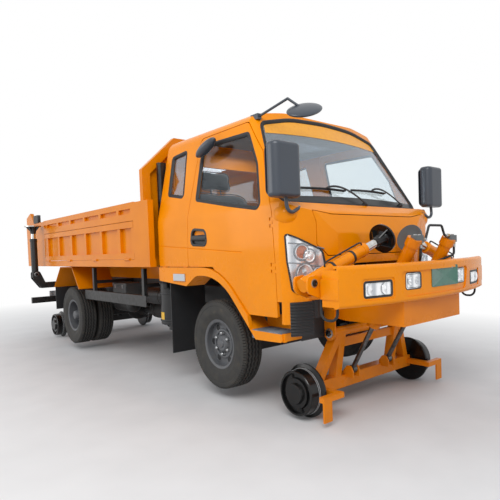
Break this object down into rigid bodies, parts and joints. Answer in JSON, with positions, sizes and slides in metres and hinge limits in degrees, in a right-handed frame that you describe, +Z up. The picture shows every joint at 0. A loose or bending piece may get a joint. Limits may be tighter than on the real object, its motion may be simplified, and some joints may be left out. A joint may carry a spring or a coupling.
{
  "type": "road-rail dump truck",
  "caption": "Orange cab-over dump truck with lowered flanged rail wheels at both ends and folding hydraulic jack legs, for work on road and track.",
  "frame": {"origin": "middle of the overall length and width, on the floor under the rail wheels", "axes": "+X forward, +Y to the truck's left, +Z up"},
  "size_m": [6.945, 2.544, 2.528],
  "materials": {
    "black_plastic": "matte grained",
    "black_rubber": "matte",
    "black_steel": "black chassis paint",
    "chrome_rod": "polished",
    "dark_fabric": "woven",
    "glass": "clear",
    "lamp_glass": "clear lamp cover",
    "orange_paint": "gloss two-pack paint",
    "rail_steel": "dark worn steel",
    "rim_steel": "silver grey paint",
    "tyre": "rubber tread"
  },
  "bodies": {
    "chassis": {"air_intake": "black_plastic", "cab_floor": "orange_paint", "cab_glass": "glass", "cab_shell": "orange_paint", "cab_steps": "orange_paint", "chassis_frame": "black_steel", "cross_members": "black_steel", "dashboard": "black_plastic", "engine": "black_steel", "frame_boxes": "black_steel", "front_axle": "black_steel", "front_bumper": "orange_paint", "front_lid": "orange_paint", "gear_carrier": "orange_paint", "hoses": "black_rubber", "lamps": "lamp_glass", "mirrors": "black_plastic", "rear_axle": "black_steel", "rear_carrier": "black_steel", "rear_mudguards": "orange_paint", "seats": "dark_fabric", "side_guards": "black_steel", "splash_panels": "black_rubber"},
    "knuckle_right": {"knuckle_right": "black_steel"},
    "front_right_wheel": {"front_right_tyre": "tyre", "front_right_rim": "rim_steel"},
    "rear_right_wheels": {"rear_right_tyres": "tyre", "rear_right_rims": "rim_steel"},
    "door_right": {"door_right": "orange_paint", "door_glass_right": "glass"},
    "drop_side_right": {"drop_side_right": "orange_paint"},
    "front_right_jack_barrel": {"front_right_jack_barrel": "orange_paint"},
    "front_right_jack_rod": {"front_right_jack_rod": "chrome_rod"},
    "rear_right_jack_barrel": {"rear_right_jack_barrel": "black_steel"},
    "rear_right_jack_rod": {"rear_right_jack_rod": "chrome_rod"},
    "knuckle_left": {"knuckle_left": "black_steel"},
    "front_left_wheel": {"front_left_tyre": "tyre", "front_left_rim": "rim_steel"},
    "rear_left_wheels": {"rear_left_tyres": "tyre", "rear_left_rims": "rim_steel"},
    "door_left": {"door_left": "orange_paint", "door_glass_left": "glass"},
    "drop_side_left": {"drop_side_left": "orange_paint"},
    "front_left_jack_barrel": {"front_left_jack_barrel": "orange_paint"},
    "front_left_jack_rod": {"front_left_jack_rod": "chrome_rod"},
    "rear_left_jack_barrel": {"rear_left_jack_barrel": "black_steel"},
    "rear_left_jack_rod": {"rear_left_jack_rod": "chrome_rod"},
    "front_gear": {"front_gear_frame": "orange_paint"},
    "front_wheelset": {"front_wheelset": "rail_steel"},
    "front_gear_barrels": {"front_gear_barrels": "orange_paint"},
    "front_gear_rods": {"front_gear_rods": "black_steel"},
    "rear_gear": {"rear_gear_frame": "orange_paint"},
    "rear_wheelset": {"rear_wheelset": "rail_steel"},
    "rear_gear_barrels": {"rear_gear_barrels": "orange_paint"},
    "rear_gear_rods": {"rear_gear_rods": "black_steel"},
    "bed": {"bed_body": "orange_paint"},
    "tailgate": {"tailgate": "orange_paint"},
    "steering_wheel": {"steering_wheel": "black_plastic"},
    "hoist_barrel": {"hoist_barrel": "black_steel"},
    "hoist_rod": {"hoist_rod": "chrome_rod"}
  },
  "joints": [
    {"name": "steer_right", "type": "hinge", "parent": "chassis", "child": "knuckle_right", "pos_m": [1.853, -0.618, 0.475], "axis": [0, 0, 1], "range_deg": [-30, 30]},
    {"name": "steer_left", "type": "hinge", "parent": "chassis", "child": "knuckle_left", "pos_m": [1.853, 0.618, 0.475], "axis": [0, 0, 1], "range_deg": [-30, 30]},
    {"name": "steering_wheel_turn", "type": "hinge", "parent": "chassis", "child": "steering_wheel", "pos_m": [2.343, 0.43, 1.558], "axis": [-0.7071, 0, 0.7071], "range_deg": [-540, 540]},
    {"name": "front_right_wheel_spin", "type": "hinge", "parent": "knuckle_right", "child": "front_right_wheel", "pos_m": [1.853, -0.791, 0.475], "axis": [0, 1, 0], "continuous": true},
    {"name": "rear_right_wheels_spin", "type": "hinge", "parent": "chassis", "child": "rear_right_wheels", "pos_m": [-1.488, -0.751, 0.475], "axis": [0, 1, 0], "continuous": true},
    {"name": "door_right_open", "type": "hinge", "parent": "chassis", "child": "door_right", "pos_m": [2.675, -0.941, 1.108], "axis": [0, 0, 1], "range_deg": [0, 70]},
    {"name": "front_left_wheel_spin", "type": "hinge", "parent": "knuckle_left", "child": "front_left_wheel", "pos_m": [1.853, 0.791, 0.475], "axis": [0, 1, 0], "continuous": true},
    {"name": "rear_left_wheels_spin", "type": "hinge", "parent": "chassis", "child": "rear_left_wheels", "pos_m": [-1.488, 0.751, 0.475], "axis": [0, 1, 0], "continuous": true},
    {"name": "door_left_open", "type": "hinge", "parent": "chassis", "child": "door_left", "pos_m": [2.675, 0.941, 1.108], "axis": [0, 0, -1], "range_deg": [0, 70]},
    {"name": "bed_tip", "type": "hinge", "parent": "chassis", "child": "bed", "pos_m": [-2.897, 0, 1.008], "axis": [0, -1, 0], "range_deg": [0, 45]},
    {"name": "hoist_swing", "type": "hinge", "parent": "chassis", "child": "hoist_barrel", "pos_m": [-1.747, 0, 0.788], "axis": [0, -1, 0], "range_deg": [0, 61.54]},
    {"name": "hoist_extend", "type": "slide", "parent": "hoist_barrel", "child": "hoist_rod", "axis": [0.9871, 0, 0.1604], "range_m": [0, 0.70222]},
    {"name": "drop_side_right_fold", "type": "hinge", "parent": "bed", "child": "drop_side_right", "pos_m": [-0.8425, -1.036, 1.226], "axis": [1, 0, 0], "range_deg": [0, 178]},
    {"name": "drop_side_left_fold", "type": "hinge", "parent": "bed", "child": "drop_side_left", "pos_m": [-0.8425, 1.036, 1.226], "axis": [-1, 0, 0], "range_deg": [0, 178]},
    {"name": "tailgate_swing", "type": "hinge", "parent": "bed", "child": "tailgate", "pos_m": [-3.193, 0, 1.795], "axis": [0, 1, 0], "range_deg": [0, 90]},
    {"name": "front_gear_swing", "type": "hinge", "parent": "chassis", "child": "front_gear", "pos_m": [2.798, 0, 0.618], "axis": [0, -1, 0], "range_deg": [0, 70]},
    {"name": "front_wheelset_spin", "type": "hinge", "parent": "front_gear", "child": "front_wheelset", "pos_m": [2.726, 0, 0.203], "axis": [0, 1, 0], "continuous": true},
    {"name": "front_gear_barrels_swing", "type": "hinge", "parent": "chassis", "child": "front_gear_barrels", "pos_m": [3.272, 0, 1.088], "axis": [0, -1, 0], "range_deg": [0, 14.16]},
    {"name": "front_gear_rods_slide", "type": "slide", "parent": "front_gear_barrels", "child": "front_gear_rods", "axis": [-0.5041, 0, -0.8637], "range_m": [-0.32552, 0]},
    {"name": "rear_gear_swing", "type": "hinge", "parent": "chassis", "child": "rear_gear", "pos_m": [-2.719, 0, 0.618], "axis": [0, -1, 0], "range_deg": [0, 70]},
    {"name": "rear_wheelset_spin", "type": "hinge", "parent": "rear_gear", "child": "rear_wheelset", "pos_m": [-2.791, 0, 0.203], "axis": [0, 1, 0], "continuous": true},
    {"name": "rear_gear_barrels_swing", "type": "hinge", "parent": "chassis", "child": "rear_gear_barrels", "pos_m": [-2.257, 0, 0.858], "axis": [0, -1, 0], "range_deg": [0, 14.52]},
    {"name": "rear_gear_rods_slide", "type": "slide", "parent": "rear_gear_barrels", "child": "rear_gear_rods", "axis": [-0.6247, 0, -0.7809], "range_m": [-0.34921, 0]},
    {"name": "front_right_jack_swing", "type": "hinge", "parent": "chassis", "child": "front_right_jack_barrel", "pos_m": [3.093, -1.02, 1.053], "axis": [1, 0, 0], "range_deg": [0, 251.3]},
    {"name": "front_right_jack_extend", "type": "slide", "parent": "front_right_jack_barrel", "child": "front_right_jack_rod", "axis": [0, 0.9472, 0.3206], "range_m": [0, 0.25]},
    {"name": "rear_right_jack_swing", "type": "hinge", "parent": "chassis", "child": "rear_right_jack_barrel", "pos_m": [-2.397, -1.16, 1.038], "axis": [1, 0, 0], "range_deg": [0, 180]},
    {"name": "rear_right_jack_extend", "type": "slide", "parent": "rear_right_jack_barrel", "child": "rear_right_jack_rod", "axis": [0, 0, 1], "range_m": [0, 0.25]},
    {"name": "front_left_jack_swing", "type": "hinge", "parent": "chassis", "child": "front_left_jack_barrel", "pos_m": [3.093, 1.02, 1.053], "axis": [-1, 0, 0], "range_deg": [0, 251.3]},
    {"name": "front_left_jack_extend", "type": "slide", "parent": "front_left_jack_barrel", "child": "front_left_jack_rod", "axis": [0, -0.9472, 0.3206], "range_m": [0, 0.25]},
    {"name": "rear_left_jack_swing", "type": "hinge", "parent": "chassis", "child": "rear_left_jack_barrel", "pos_m": [-2.397, 1.16, 1.038], "axis": [-1, 0, 0], "range_deg": [0, 180]},
    {"name": "rear_left_jack_extend", "type": "slide", "parent": "rear_left_jack_barrel", "child": "rear_left_jack_rod", "axis": [0, 0, 1], "range_m": [0, 0.25]}
  ],
  "couplings": [
    {"joint": "steer_left", "follows": "steer_right", "ratio": 1},
    {"joint": "steering_wheel_turn", "follows": "steer_right", "ratio": 18},
    {"joint": "hoist_swing", "follows": "bed_tip", "ratio": 1.3669},
    {"joint": "hoist_extend", "follows": "bed_tip", "m_per_rad": 0.89364},
    {"joint": "front_gear_barrels_swing", "follows": "front_gear_swing", "ratio": 0.20223},
    {"joint": "front_gear_rods_slide", "follows": "front_gear_swing", "m_per_rad": -0.26631},
    {"joint": "rear_gear_barrels_swing", "follows": "rear_gear_swing", "ratio": 0.20739},
    {"joint": "rear_gear_rods_slide", "follows": "rear_gear_swing", "m_per_rad": -0.28569}
  ]
}
